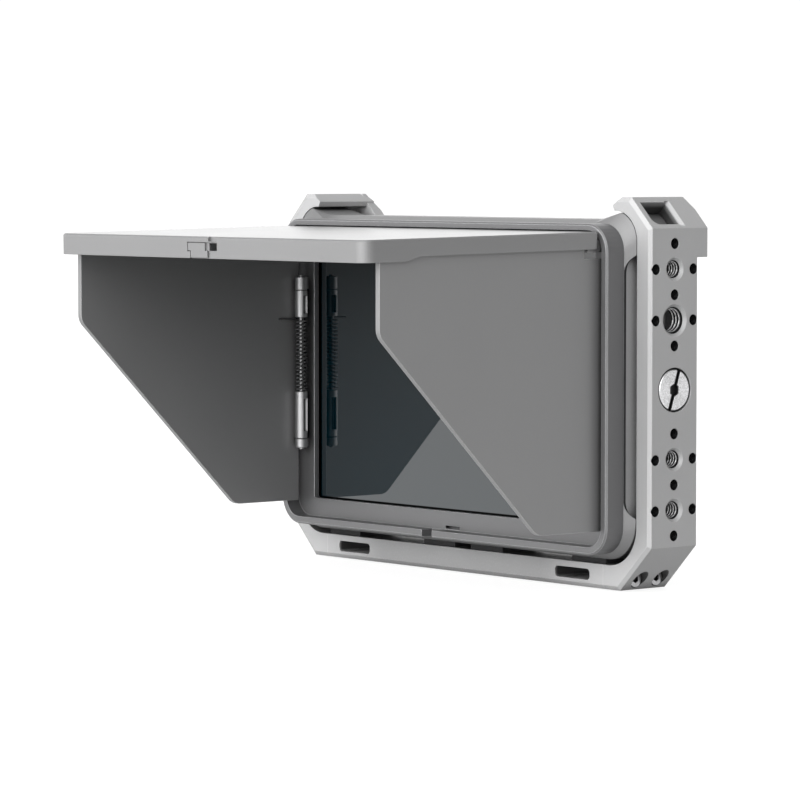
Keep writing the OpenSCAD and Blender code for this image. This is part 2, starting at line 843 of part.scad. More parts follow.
module left_knuckles() {
  color("#b4b5b8") knuckles(left_axis);
}

module right_knuckles() {
  color("#b4b5b8") knuckles(right_axis);
}

module left_sleeves() {
  color("#bfc0c3") sleeves(left_axis, -1);
}

module right_sleeves() {
  color("#bfc0c3") sleeves(right_axis, 1);
}

module left_pin() {
  color("#d0d1d3") hinge_pin(left_axis);
}

module right_pin() {
  color("#d0d1d3") hinge_pin(right_axis);
}

// Torsion spring: a short tail, the coil, and a long arm that bears on the flap.
// Seen from above, the wire winds from the tail side round to the arm.
coil_steps = coil_turns * coil_rings;
coil_len = coil_z1 - coil_z0 - wire_d - 2 * hinge_gap;

// Here r is the radius of the coil and a the lean of its arm.
function coil_angle(k, a) = 180 - a * k / coil_steps + 360 * coil_turns * k / coil_steps;
function coil_out(k, a) = [cos(coil_angle(k, a)), sin(coil_angle(k, a)), 0];
function coil_way(k, a) = [-sin(coil_angle(k, a)), cos(coil_angle(k, a)), 0];
function coil_point(k, r, a) = r * coil_out(k, a)
                               + [0, 0, coil_z0 + hinge_gap + wire_d / 2 + coil_len * k / coil_steps];
function spring_line(r, a) = concat([coil_point(0, r, a) - wire_d * coil_way(0, a)],
                                    [for (k = [0 : coil_steps]) coil_point(k, r, a)],
                                    [coil_point(coil_steps, r, a) + coil_arm * coil_way(coil_steps, a)]);
function spring_side(a) = concat([coil_out(0, a)], [for (k = [0 : coil_steps]) coil_out(k, a)],
                                 [coil_out(coil_steps, a)]);

// Least clear gap between one turn of the wire and the next
function self_gap(path) = min([for (i = [0 : len(path) - 1], j = [i + coil_rings - 2 : 1 : len(path) - 1])
                                 norm(path[i] - path[j])]) - wire_d;
echo(left_spring_least_gap_to_itself = self_gap(spring_line(left_coil_r, left_lean)));
echo(right_spring_least_gap_to_itself = self_gap(spring_line(right_coil_r, right_lean)));

module spring_wire(r, a) {
  path = spring_line(r, a);
  side = spring_side(a);
  n = len(path);
  m = coil_sides;
  points = [for (i = [0 : n - 1], j = [0 : m - 1])
              path[i] + wire_d / 2 * (cos(360 * j / m) * side[i] + sin(360 * j / m) * [0, 0, 1])];
  skin = [for (i = [0 : n - 2], j = [0 : m - 1], half = [0, 1])
            half == 0 ? [i * m + j, (i + 1) * m + j, (i + 1) * m + (j + 1) % m]
                      : [i * m + j, (i + 1) * m + (j + 1) % m, i * m + (j + 1) % m]];
  caps = concat([for (j = [1 : m - 2]) [0, j, j + 1]],
                [for (j = [1 : m - 2]) [(n - 1) * m, (n - 1) * m + j + 1, (n - 1) * m + j]]);
  polyhedron(points = points, faces = concat(skin, caps));
}

module left_spring() {
  color("#1c1c1e") translate([left_axis[0], left_axis[1], 0]) spring_wire(left_coil_r, left_lean);
}

module right_spring() {
  color("#1c1c1e") translate([right_axis[0], right_axis[1], 0]) mirror([1, 0, 0])
    spring_wire(right_coil_r, right_lean);
}

// Monitor

// Outline of the housing between the arms. Its corners run along the arcs of the cage, and each upper
// corner rises to a crest under its hook.
module body_outline() {
  r = hook_r - ease;
  low = low_r - ease;
  c = [arm_in - hook_r, cage_h - hook_t - hook_r];
  crest = c + r * [cos(crest_turn), sin(crest_turn)];
  foot_x = crest_foot();
  difference() {
    hull() both_in_plane() {
      translate(c) circle(r);
      translate([arm_in - low_r, housing_z0 + low]) circle(low);
    }
    polygon([[-crest[0], crest[1]], [-foot_x, housing_z1], [foot_x, housing_z1], crest,
             [crest[0], cage_h], [-crest[0], cage_h]]);
  }
}

// Where the slope from the crest meets the top of the housing
function crest_foot() =
  arm_in - hook_r + (hook_r - ease) * cos(crest_turn)
  - (cage_h - hook_t - hook_r + (hook_r - ease) * sin(crest_turn) - housing_z1) / tan(crest_fall);

module corner_window() {
  translate([crest_foot(), housing_z1 - hook_r]) square([2 * hook_r, 2 * hook_r]);
}

module frame_outline() {
  round_panel(frame_w, frame_z0, frame_z1, frame_r);
}

// The housing widens from the back of the frame to its full outline
module flare() {
  hull() {
    between_y(frame_y1, frame_y1 + tiny) frame_outline();
    between_y(flare_y - tiny, flare_y) intersection() {
      body_outline();
      translate([-side_w, housing_z0]) square([2 * side_w, housing_z1 - housing_z0]);
    }
  }
  both_sides() hull() {
    between_y(frame_y1, frame_y1 + tiny) intersection() {
      frame_outline();
      corner_window();
    }
    between_y(flare_y - tiny, flare_y) intersection() {
      body_outline();
      corner_window();
    }
  }
}

module side_recess() {
  between_x(frame_w / 2 - ease, side_w) translate([0, mid_z + recess_lift])
    round_rect(2 * (tiny - frame_y1), recess_h, recess_r);
}

module housing() {
  in_y = glass_y0 + glass_t + panel_t + light_t + 3 * layer_gap;
  color("#6e6f72") difference() {
    union() {
      flare();
      between_y(flare_y - tiny, housing_y1) body_outline();
    }
    both_sides() side_recess();
    between_y(frame_y1 - tiny, in_y)
      round_panel(cell_w, screen_z - cell_h / 2, screen_z + cell_h / 2, screen_r);
    between_y(in_y + housing_wall, housing_y1 + tiny)
      round_panel(cell_w, screen_z - cell_h / 2, screen_z + cell_h / 2, frame_r);
    both_sides() rod_x(side_w / 2 - disc_reach - edge, side_w / 2 + tiny, 0, mid_z, small_thread_r);
    for (p = cover_screw_spots) rod_y(housing_y1 - screw_reach - edge, housing_y1 + tiny, p[0], p[1], shank_r);
  }
}

module cover_glass() {
  g = layer_gap;
  color("#20242a") between_y(glass_y0, glass_y0 + glass_t)
    round_panel(cell_w - 2 * g, screen_z - cell_h / 2 + g, screen_z + cell_h / 2 - g, screen_r);
}

module display_panel() {
  y0 = glass_y0 + glass_t + layer_gap / 2;
  color("#15181c") between_y(y0, y0 + panel_t)
    round_panel(screen_w, screen_z - screen_h / 2, screen_z + screen_h / 2, screen_r);
}

module backlight() {
  y0 = glass_y0 + glass_t + panel_t + layer_gap;
  color("#e4e4e0") between_y(y0, y0 + light_t)
    round_panel(screen_w, screen_z - screen_h / 2, screen_z + screen_h / 2, screen_r);
}

module main_board() {
  in_y = glass_y0 + glass_t + panel_t + light_t + 3 * layer_gap + housing_wall;
  chip_shares = [[-0.25, 0.2, 0.12], [0.1, 0.05, 0.16], [0.3, -0.2, 0.1], [-0.1, -0.25, 0.09]];
  chip_t = 1.2;
  color("#1f6b3d") {
    between_y(in_y, in_y + board_t)
      round_panel(board_w, screen_z - board_h / 2, screen_z + board_h / 2, screen_r);
    for (c = chip_shares)
      box(board_w * (c[0] - c[2] / 2), board_w * (c[0] + c[2] / 2),
          in_y + board_t - tiny, in_y + board_t + chip_t,
          screen_z + board_w * (c[1] - c[2]) / 2, screen_z + board_w * (c[1] + c[2]) / 2);
  }
}

// Rear cover: a shallow tray with a bevelled back, vents and a seat for the battery plate

module cover_solid() {
  b = cover_bevel;
  hull() {
    between_y(housing_y1, cover_y1 - b) round_panel(cover_w, cover_z0, cover_z1, frame_r, $fn = 32);
    between_y(housing_y1, cover_y1)
      round_panel(cover_w - 2 * b, cover_z0 + b, cover_z1 - b, frame_r - b, $fn = 32);
  }
}

module rear_cover() {
  color("#2b2c2e") difference() {
    cover_solid();
    between_y(housing_y1 - tiny, cover_y1 - cover_wall)
      round_panel(cell_w, screen_z - cell_h / 2, screen_z + cell_h / 2, frame_r);
    for (s = [-1, 1], k = [0 : vent_n - 1])
      translate([s * (cell_w / 2 - frame_r - vent_n * vent_step) + (k - (vent_n - 1) / 2) * vent_step, 0,
                 screen_z + cell_h / 4])
        between_y(cover_y1 - 2 * cover_wall, cover_y1 + tiny) round_rect(vent_w, vent_h, vent_w / 2 - tiny);
    video_cuts(ease);
    power_cut(ease);
    rod_y(cover_y1 - 2 * cover_wall, cover_y1 + tiny, button_x, button_z, button_r + ease / 2);
    for (p = cover_screw_spots) {
      rod_y(housing_y1 - tiny, cover_y1, p[0], p[1], shank_r + bore_gap);
      rod_y(cover_y1 - edge - screw_h, cover_y1 + tiny, p[0], p[1], screw_r + bore_gap);
    }
  }
}

module cover_screws() {
  y1 = cover_y1 - edge;
  color("#55575a") for (p = cover_screw_spots)
    difference() {
      union() {
        rod_y(y1 - screw_h, y1, p[0], p[1], screw_r);
        rod_y(housing_y1 - screw_reach, y1 - screw_h + tiny, p[0], p[1], shank_r - slip);
      }
      translate([p[0], y1 + tiny, p[1]]) rotate([90, 0, 0]) cylinder(h = screw_h / 2, r = screw_hex_r, $fn = 6);
    }
}

// Battery plate with two hooked rails, a contact block and a spring release

module rail() {
  x1 = plate_w / 2;
  tab = plate_h / 5;
  for (k = [-1, 1]) {
    box(x1 - rail_w / 2, x1, plate_y1 - tiny, plate_y1 + rail_t, screen_z + k * plate_h / 4 - tab / 2,
        screen_z + k * plate_h / 4 + tab / 2);
    box(x1 - rail_w, x1, plate_y1 + rail_t - rail_lip, plate_y1 + rail_t, screen_z + k * plate_h / 4 - tab / 2,
        screen_z + k * plate_h / 4 + tab / 2);
  }
}

module battery_plate() {
  color("#222325") difference() {
    union() {
      between_y(plate_y0, plate_y1)
        round_panel(plate_w, screen_z - plate_h / 2, screen_z + plate_h / 2, rail_w);
      both_sides() rail();
      box(-release_w, release_w, plate_y1 - tiny, plate_y1 + rail_lip,
          screen_z + plate_h / 4, screen_z + plate_h / 3);
    }
    box(-release_w / 2 - ease, release_w / 2 + ease, plate_y0 + edge, plate_y1 + tiny,
        release_z - release_h / 2 - release_run - ease, release_z + release_h / 2 + ease);
  }
}

module battery_contacts() {
  color("#c9a24b") for (k = [-1, 0, 1])
    box(k * release_w / 2 - blade_t / 2, k * release_w / 2 + blade_t / 2, plate_y1, plate_y1 + rail_lip,
        screen_z + plate_h / 4 - rail_lip * 2, screen_z + plate_h / 4);
}

module battery_release() {
  color("#b23a30") {
    box(-release_w / 2, release_w / 2, plate_y0 + edge + ease, plate_y1 + edge,
        release_z - release_h / 2, release_z + release_h / 2);
    box(-release_w / 3, release_w / 3, plate_y1, plate_y1 + rail_lip, release_z, release_z + edge * 2);
  }
}

// Sockets in the back of the cover, below the battery plate's sides

module video_cuts(grow) {
  for (k = [0, 1])
    between_y(cover_y1 - socket_t, cover_y1 + tiny)
      translate([-video_x, video_z + k * video_step]) round_rect(video_w + 2 * grow, video_h + 2 * grow, edge);
}

module video_sockets() {
  tongue = video_h / 4;
  rim = video_rim;
  color("#8e8f92") for (k = [0, 1]) translate([-video_x, 0, video_z + k * video_step]) {
    difference() {
      between_y(cover_y1 - socket_t, cover_y1 - tiny) round_rect(video_w, video_h, edge);
      between_y(cover_y1 - socket_t + rim, cover_y1) round_rect(video_w - 2 * rim, video_h - 2 * rim, edge / 2);
    }
    box(-video_w / 3, video_w / 3, cover_y1 - socket_t + tiny, cover_y1 - rim, -tongue / 2, tongue / 2);
  }
}

module power_cut(grow) {
  rod_y(cover_y1 - socket_t, cover_y1 + tiny, power_x, video_z, power_r + grow / 2);
}

module power_socket() {
  y0 = cover_y1 - socket_t;
  color("#18191a") {
    difference() {
      rod_y(y0, cover_y1 - tiny, power_x, video_z, power_r);
      rod_y(y0 + edge, cover_y1, power_x, video_z, power_bore_r);
    }
    rod_y(y0 + edge - tiny, cover_y1 - edge, power_x, video_z, power_pin_r);
  }
}

module power_button() {
  color("#3a3b3d")
    rod_y(cover_y1 - 2 * cover_wall + button_run, cover_y1 + button_run, button_x, button_z, button_r);
}

bottom_bar();
right_arm();
left_arm();
corner_screws();
disc_screws();
bar_pads();
hood_frame();
lid();
lid_brackets();
lid_pins();
lid_latch();
left_flap();
right_flap();
left_sleeves();
right_sleeves();
left_knuckles();
right_knuckles();
left_pin();
right_pin();
left_spring();
right_spring();
housing();
cover_glass();
display_panel();
backlight();
main_board();
rear_cover();
cover_screws();
battery_plate();
battery_contacts();
battery_release();
video_sockets();
power_socket();
power_button();
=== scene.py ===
import math

import bpy
import numpy as np
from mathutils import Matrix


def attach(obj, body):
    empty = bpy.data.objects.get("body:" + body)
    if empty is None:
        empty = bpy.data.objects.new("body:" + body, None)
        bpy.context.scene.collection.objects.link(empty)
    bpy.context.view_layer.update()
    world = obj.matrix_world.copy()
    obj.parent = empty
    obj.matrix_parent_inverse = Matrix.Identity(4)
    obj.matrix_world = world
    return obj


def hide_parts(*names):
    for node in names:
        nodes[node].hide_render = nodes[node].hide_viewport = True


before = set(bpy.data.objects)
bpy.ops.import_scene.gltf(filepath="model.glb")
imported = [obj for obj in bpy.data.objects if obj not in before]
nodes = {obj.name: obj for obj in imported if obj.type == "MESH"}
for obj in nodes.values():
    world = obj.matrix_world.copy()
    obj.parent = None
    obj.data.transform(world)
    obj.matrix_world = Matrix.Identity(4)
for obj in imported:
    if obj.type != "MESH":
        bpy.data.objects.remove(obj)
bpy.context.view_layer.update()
print("frame loaded:", len(nodes), "nodes")


# Values shared by all finishes: samples of the edge and corner nodes, and how far a normal turns at an edge
shared = {"bevelSamples": 4, "openSamples": 6, "edgeFrom": 0.015, "edgeTo": 0.12}


# A wrapped socket, so that patterns are written as expressions.
class Wire:
    def __init__(self, graph, socket):
        self.graph, self.socket = graph, socket

    def maths(self, kind, other=None, swap=False):
        ins = [self] if other is None else ([other, self] if swap else [self, other])
        made = self.graph.node("ShaderNodeMath", {"operation": kind}, {i: v for i, v in enumerate(ins)})
        return made["Value"]

    def __add__(self, o): return self.maths("ADD", o)
    def __radd__(self, o): return self.maths("ADD", o, True)
    def __sub__(self, o): return self.maths("SUBTRACT", o)
    def __rsub__(self, o): return self.maths("SUBTRACT", o, True)
    def __mul__(self, o): return self.maths("MULTIPLY", o)
    def __rmul__(self, o): return self.maths("MULTIPLY", o, True)
    def __pow__(self, o): return self.maths("POWER", o)
    def __abs__(self): return self.maths("ABSOLUTE")
    def __gt__(self, o): return self.maths("GREATER_THAN", o)
    def root(self): return self.maths("SQRT")
    def sine(self): return self.maths("SINE")
    def clamp(self): return self.maths("MINIMUM", 1.0).maths("MAXIMUM", 0.0)

    # 0 below low, 1 above high, straight in between
    def ramp(self, low, high):
        return ((self - low) * (1.0 / (high - low))).clamp()


class Graph:
    def __init__(self, name):
        self.material = bpy.data.materials.new(name)
        self.material.use_nodes = True
        self.tree = self.material.node_tree
        self.tree.nodes.clear()
        self.output = self.tree.nodes.new("ShaderNodeOutputMaterial")

    # Any node: its type, its settings first, then the values or links of its sockets
    def node(self, kind, settings=None, ins=None):
        made = self.tree.nodes.new(kind)
        for key, value in (settings or {}).items():
            setattr(made, key, value)
        for key, value in (ins or {}).items():
            if isinstance(value, Wire):
                self.tree.links.new(value.socket, made.inputs[key])
            else:
                made.inputs[key].default_value = value
        return {o.name: Wire(self, o) for o in made.outputs if o.enabled}

    def place(self):
        return self.node("ShaderNodeTexCoord")["Object"]

    def axes(self):
        return self.node("ShaderNodeSeparateXYZ", None, {0: self.place()})

    def noise(self, scale, detail=2.0, rough=0.5, stretch=(1, 1, 1)):
        at = self.place()
        if stretch != (1, 1, 1):
            at = self.node("ShaderNodeMapping", None, {"Vector": at, "Scale": stretch})["Vector"]
        return self.node("ShaderNodeTexNoise", None, {"Vector": at, "Scale": scale, "Detail": detail,
                                                      "Roughness": rough})["Fac"]

    # Colour a where the factor is 0 and b where it is 1
    def mix(self, factor, a, b):
        made = self.node("ShaderNodeMix", {"data_type": "RGBA"}, {0: factor, 6: colour4(a), 7: colour4(b)})
        return [w for w in made.values() if w.socket.type == "RGBA"][0]

    def rounded(self, radius):
        return self.node("ShaderNodeBevel", {"samples": shared["bevelSamples"]}, {"Radius": radius})["Normal"]

    # 1 along the edges, 0 on the flats: how far the rounded normal turns from the true one
    def edges(self, rounded):
        true = self.node("ShaderNodeNewGeometry")["True Normal"]
        same = self.node("ShaderNodeVectorMath", {"operation": "DOT_PRODUCT"}, {0: rounded, 1: true})["Value"]
        return (1.0 - same).ramp(shared["edgeFrom"], shared["edgeTo"])

    # 1 where a piece's own points are marked as sunk, 0 elsewhere and on every CAD node; the finishes paint shade
    # there
    def sunk(self):
        return self.node("ShaderNodeAttribute", {"attribute_name": "sunk"})["Fac"]

    # 1 in the open, towards 0 in slots, holes and corners: the finishes paint shade where it is low
    def openness(self, reach):
        settings = {"samples": shared["openSamples"]}
        return self.node("ShaderNodeAmbientOcclusion", settings, {"Distance": reach})["AO"]

    def bump(self, height, distance, strength=1.0, normal=None):
        ins = {"Height": height, "Distance": distance, "Strength": strength}
        if normal is not None:
            ins["Normal"] = normal
        return self.node("ShaderNodeBump", None, ins)["Normal"]

    def finish(self, **ins):
        named = {key.replace("_", " "): (colour4(v) if "Color" in key else v) for key, v in ins.items()}
        shader = self.node("ShaderNodeBsdfPrincipled", None, named)
        self.tree.links.new(shader["BSDF"].socket, self.output.inputs["Surface"])
        return self.material


def colour4(value):
    if isinstance(value, Wire):
        return value
    return (value, value, value, 1.0) if isinstance(value, (int, float)) else (*value, 1.0)[:4]


def shade(share, colour):
    return tuple(min(1.0, share * c) for c in colour)


# 1 between two values
def within(wire, low, high):
    return (wire > low) * (1.0 - (wire > high))


# A finish's colour times its darker share where the pattern is low, times its lighter share where it is high
def toned(g, pattern, look):
    return g.mix(pattern.ramp(*look["toneRamp"]), shade(look["darker"], look["colour"]),
                 shade(look["lighter"], look["colour"]))


# 1 on the flat floors of the side recesses, where light is painted: between two values of |x| and facing along X
def litRecessFloor(g, look):
    normal = g.node("ShaderNodeNewGeometry")["True Normal"]
    facing = abs(g.node("ShaderNodeSeparateXYZ", None, {0: normal})["X"])
    return within(abs(g.axes()["X"]), look["litFloorIn"], look["litFloorOut"]) * (facing > look["litFloorFacing"])


# Where shadow is painted on the cage's inner walls, in metres, and how dark
wallShadowPlaces = {
    "slope": 0.2311, "lean": 0.7071, "windowFade": (0.0001, 0.003), "windowX": (0.0888, 0.1012),
    "windowY": (-0.0087, 0.0047), "windowZ": (0.122, 0.1387), "windowDark": 0.97,
    "slotX": (0.0526, 0.0714), "slotFloor": (0.0027, 0.0033), "slotRoof": 0.00665, "slotMouth": (0.0102, 0.0112),
    "slotDark": 0.93,
    "seatY": 0.005, "seatZ": 0.0039, "seatRadius": 0.00308, "seatX": 0.081, "seatDark": 0.95,
}


# Painted shadow on the cage's inner walls: the strap windows, which darken with the distance below the slope
# where |x| + z = slope, the slots of the bar but for a strip of their floor, and the seats of the corner screws
# round four axes along X
def paintedWallShadow(g):
    spot = wallShadowPlaces
    axis = g.axes()
    away, aside, up = abs(axis["X"]), abs(axis["Y"]), axis["Z"]
    down = (spot["slope"] - away - up) * spot["lean"]
    window = down.ramp(*spot["windowFade"]) * within(away, *spot["windowX"])
    window = window * within(axis["Y"], *spot["windowY"]) * within(up, *spot["windowZ"])
    slot = within(away, *spot["slotX"]) * up.ramp(*spot["slotFloor"]) * (1.0 - (up > spot["slotRoof"]))
    slot = slot * (1.0 - aside.ramp(*spot["slotMouth"]))
    out, rise = aside - spot["seatY"], up - spot["seatZ"]
    seat = (1.0 - ((out * out + rise * rise).root() > spot["seatRadius"])) * (away > spot["seatX"])
    return (window * spot["windowDark"] + slot * spot["slotDark"] + seat * spot["seatDark"]).clamp()


# Finishes. Anodised aluminium, bead blasted: tone = cloud and grain between a darker and a lighter grey,
# a painted highlight along the edges, painted shade in slots and corners; height = grain over rounded edges.
def blastedAlloy(name, look):
    g = Graph(name)
    cloud = g.noise(look["cloudScale"], detail=3.0, rough=0.55)
    grain = g.noise(look["grainScale"], rough=0.6)
    speck = g.noise(look["speckScale"]).ramp(*look["speckRamp"])
    soft = g.rounded(look["edge"])
    # Painted highlight along the edges, where the rounded normal turns, varied by the cloud
    rubAndHighlight = g.edges(soft) * (look["highlightLeast"] + cloud * look["highlightCloud"]).clamp()
    # Painted shade in slots, holes and corners, from the ambient occlusion
    paintedShade = 1.0 - g.openness(look["reach"]).ramp(look["deepest"], look["open"])
    tone = toned(g, cloud * 0.5 + grain * 0.5, look)
    # Painted shadow of the hood: darker across the middle of the bar
    if "middleShade" in look:
        middle = 1.0 - abs(g.axes()["X"]).ramp(look["middleFrom"], look["middleTo"])
        tone = g.mix(middle, tone, shade(look["middleShade"], look["colour"]))
    # Painted light: the flat recess floors of the housing lighter than the rest
    if "recessFloorLight" in look:
        tone = g.mix(litRecessFloor(g, look), tone, look["recessFloorLight"])
    tone = g.mix(speck * look["speck"], tone, shade(look["speckBright"], look["colour"]))
    tone = g.mix(rubAndHighlight * look["rubAndHighlight"], tone, shade(look["bright"], look["colour"]))
    # Painted shadow on the cage's inner walls, added to the painted shade
    if look["wallShadowPainted"]:
        paintedShade = (paintedShade + paintedWallShadow(g)).clamp()
    tone = g.mix(paintedShade * look["dark"], tone, shade(look["deepShade"], look["colour"]))
    rough = (look["rough"] + (cloud - 0.5) * look["roughCloud"] + (grain - 0.5) * look["roughGrain"]
             - rubAndHighlight * look["roughRub"])
    return g.finish(Base_Color=tone, Metallic=look["metal"], Roughness=rough.clamp(),
                    Normal=g.bump(grain, look["grainDepth"], normal=soft))


# Cut thread: bright crests over valleys painted black as shade, marked by the points' own depth
def cutThread(name, look):
    g = Graph(name)
    wear = g.noise(look["wearScale"], rough=0.6)
    # Painted shade: the sunk valleys go black, over a frayed border
    depth = (g.sunk() + (wear - 0.5) * look["ragged"]).ramp(look["crest"], look["valley"])
    tone = g.mix(depth, look["colour"], look["paintedShade"])
    rough = look["rough"] + wear * look["roughWear"] + depth * look["roughDeep"]
    return g.finish(Base_Color=tone, Metallic=look["metal"], Roughness=rough.clamp(),
                    Normal=g.bump(wear, look["depth"]))


# Bright lathe-turned steel: fine rings as a sine of the height, light scratches across them, painted shade in
# recesses and on sunk points
def turnedSteel(name, look):
    g = Graph(name)
    axis = g.axes()
    rings = (axis["Z"] * look["ringScale"]).sine() * 0.5 + 0.5
    scratch = g.noise(look["scratchScale"], rough=0.6, stretch=(1, 1, look["scratchStretch"]))
    # Painted shade: corners from the ambient occlusion, and the points marked sunk
    paintedShade = (1.0 - g.openness(look["reach"]).ramp(*look["openRamp"]) + g.sunk()).clamp()
    tone = toned(g, scratch, look)
    tone = g.mix(paintedShade * look["dark"], tone, shade(look["deepShade"], look["colour"]))
    rough = look["rough"] + scratch * look["roughScratch"] + rings * look["roughRings"]
    height = rings * look["ringShare"] + scratch * (1 - look["ringShare"])
    return g.finish(Base_Color=tone, Metallic=1.0, Roughness=rough.clamp(),
                    Normal=g.bump(height, look["depth"], normal=g.rounded(look["edge"])))


# Face-turned screw heads: rings about each screw's own axis, which runs along X. The distance from that
# axis is the root of (|y| - centreY) squared plus (z - centreZ) squared. Slot, socket and outer rim get painted
# shade: below the depth sunk, counted from the face at |x|, and past the radius rim; so do corners.
def facedSteel(name, look):
    g = Graph(name)
    axis = g.axes()
    across, up = abs(axis["Y"]) - look["centreY"], axis["Z"] - look["centreZ"]
    radius = (across * across + up * up).root()
    rings = (radius * look["ringScale"]).sine() * 0.5 + 0.5
    smear = g.noise(look["smearScale"], detail=3.0, rough=0.6)
    paintedShade = 1.0 - g.openness(look["reach"]).ramp(*look["openRamp"])
    sunk = 1.0 - abs(axis["X"]).ramp(look["face"] - look["sunk"], look["face"] - look["sunk"] * 0.5)
    # Painted shade: black in slot and socket, round the rim and in corners
    black = (sunk + radius.ramp(look["rim"], look["rim"] + look["rimFade"]) + paintedShade * look["dark"]).clamp()
    tone = toned(g, smear, look)
    tone = g.mix(black * look["black"], tone, shade(look["deepShade"], look["colour"]))
    rough = (look["rough"] + rings * look["roughRings"] + smear * look["roughSmear"]
             + black * look["roughBlack"])
    return g.finish(Base_Color=tone, Metallic=1.0, Roughness=rough.clamp(),
                    Normal=g.bump(rings, look["depth"], normal=g.rounded(look["edge"])))


# Satin nickel: fine even grain, painted shade in recesses
def satinNickel(name, look):
    g = Graph(name)
    grain = g.noise(look["grainScale"], detail=3.0, rough=0.6)
    # Painted shade in recesses, from the ambient occlusion
    paintedShade = 1.0 - g.openness(look["reach"]).ramp(*look["openRamp"])
    tone = toned(g, grain, look)
    tone = g.mix(paintedShade * look["dark"], tone, shade(look["deepShade"], look["colour"]))
    rough = look["rough"] + grain * look["roughGrain"]
    return g.finish(Base_Color=tone, Metallic=1.0, Roughness=rough.clamp(),
                    Normal=g.bump(grain, look["depth"], normal=g.rounded(look["edge"])))


# Black oxide spring wire: oily sheen, rubbed spots, painted shade between the turns
def oxideSteel(name, look):
    g = Graph(name)
    rubAndHighlight = g.noise(look["rubScale"], detail=3.0, rough=0.6)
    tone = g.mix(rubAndHighlight.ramp(*look["rubRamp"]), look["colour"], look["rubbed"])
    # Painted shade between the turns, from the ambient occlusion
    tone = g.mix(1.0 - g.openness(look["between"]).ramp(*look["openRamp"]), tone, look["black"])
    rough = look["rough"] + (rubAndHighlight - 0.5) * look["roughRub"]
    return g.finish(Base_Color=tone, Metallic=look["metal"], Roughness=rough.clamp(),
                    Normal=g.bump(rubAndHighlight, look["depth"]))


# Moulded plastic or rubber with a spark-eroded grain: small rounded pits, slight tone and gloss changes,
# a painted highlight along the edges
def mouldedPlastic(name, look):
    g = Graph(name)
    cells = g.node("ShaderNodeTexVoronoi", {"feature": "SMOOTH_F1"},
                   {"Vector": g.place(), "Scale": look["cellScale"]})["Distance"]
    cloud = g.noise(look["cloudScale"], detail=3.0)
    soft = g.rounded(look["edge"])
    tone = toned(g, cloud, look)
    # Painted highlight along the edges, where the rounded normal turns
    tone = g.mix(g.edges(soft) * look["rubAndHighlight"], tone, shade(look["bright"], look["colour"]))
    rough = look["rough"] + (cells - look["cellMean"]) * look["roughCell"] + (cloud - 0.5) * look["roughCloud"]
    return g.finish(Base_Color=tone, Roughness=rough.clamp(),
                    Normal=g.bump(cells, look["depth"], look["strength"], soft))


# Optically bonded cover glass: dark, mirror-like, with a trace of smear and dust in its gloss. Inside the
# opening's edge runs a dull black line: the least distance to that edge, in X and in Z.
def screenGlass(name, look):
    g = Graph(name)
    axis = g.axes()
    inside = (look["halfX"] - abs(axis["X"])).maths("MINIMUM", look["halfZ"] - abs(axis["Z"] - look["middle"]))
    line = 1.0 - inside.ramp(look["line"], look["line"] + look["lineFade"])
    smear = g.noise(look["smearScale"], detail=4.0, rough=0.6).ramp(*look["smearRamp"])
    dust = g.noise(look["dustScale"], detail=1.0, rough=0.4).ramp(*look["dustRamp"])
    tone = g.mix(line, g.mix(dust * look["dustShare"], look["colour"], look["dust"]), look["black"])
    rough = (look["rough"] + smear * look["roughSmear"] + dust * look["roughDust"]
             + line * look["roughLine"])
    return g.finish(Base_Color=tone, Roughness=rough.clamp(), Metallic=line, IOR=look["ior"])


# Printed board: green mask over faint copper tracks on a square grid, where the sines of x and z peak
def solderMask(name, look):
    g = Graph(name)
    axis = g.axes()
    wide, tall = ((axis[way] * look["trackScale"]).sine().ramp(*look["trackRamp"]) for way in "XZ")
    tracks = (wide + tall).clamp() * (g.noise(look["patchScale"]) > look["patchFrom"])
    tone = g.mix(tracks, look["colour"], look["copper"])
    return g.finish(Base_Color=tone, Roughness=(look["rough"] + tracks * look["roughTracks"]).clamp(),
                    Normal=g.bump(tracks, look["depth"], look["strength"]))


# Gold-plated contact blades with wiping marks
def plated(name, look):
    g = Graph(name)
    wipe = g.noise(look["wipeScale"], rough=0.6, stretch=(1, 1, look["wipeStretch"]))
    rough = look["rough"] + wipe * look["roughWipe"]
    return g.finish(Base_Color=toned(g, wipe, look), Metallic=1.0, Roughness=rough.clamp(),
                    Normal=g.bump(wipe, look["depth"], normal=g.rounded(look["edge"])))


# Values of each finish: colours are linear, lengths in metres. First what several finishes share.
alloy = {"metal": 0.5, "grainScale": 6000, "grainDepth": 0.000012, "cloudScale": 26, "toneRamp": (0.25, 0.75),
         "darker": 0.96, "lighter": 1.04, "speckScale": 1860, "speckRamp": (0.5, 0.78), "speck": 0.08,
         "speckBright": 1.3, "edge": 0.0003, "rubAndHighlight": 0.6, "highlightLeast": 0.55, "highlightCloud": 0.9, "bright": 1.6,
         "reach": 0.007, "deepest": 0.1, "open": 0.44, "dark": 0.95, "deepShade": 0.04, "wallShadowPainted": False,
         "roughCloud": 0.05, "roughGrain": 0.1, "roughRub": 0.06}
faced = {"openRamp": (0.1, 0.75), "dark": 0.9, "sunk": 0.0008, "rimFade": 0.0002, "toneRamp": (0.35, 0.7),
         "darker": 0.85, "lighter": 1.05, "black": 0.94, "deepShade": 0.04, "roughRings": 0.07,
         "roughSmear": 0.08, "roughBlack": 0.2}
oxide = {"rubRamp": (0.55, 0.8), "openRamp": (0.3, 0.95), "black": (0.002, 0.002, 0.002), "metal": 0.9,
         "roughRub": 0.2}
moulded = {"toneRamp": (0.3, 0.7), "darker": 0.85, "lighter": 1.18, "rubAndHighlight": 0.35, "bright": 1.8, "cellMean": 0.4,
           "roughCell": 0.2, "roughCloud": 0.1, "strength": 0.8}
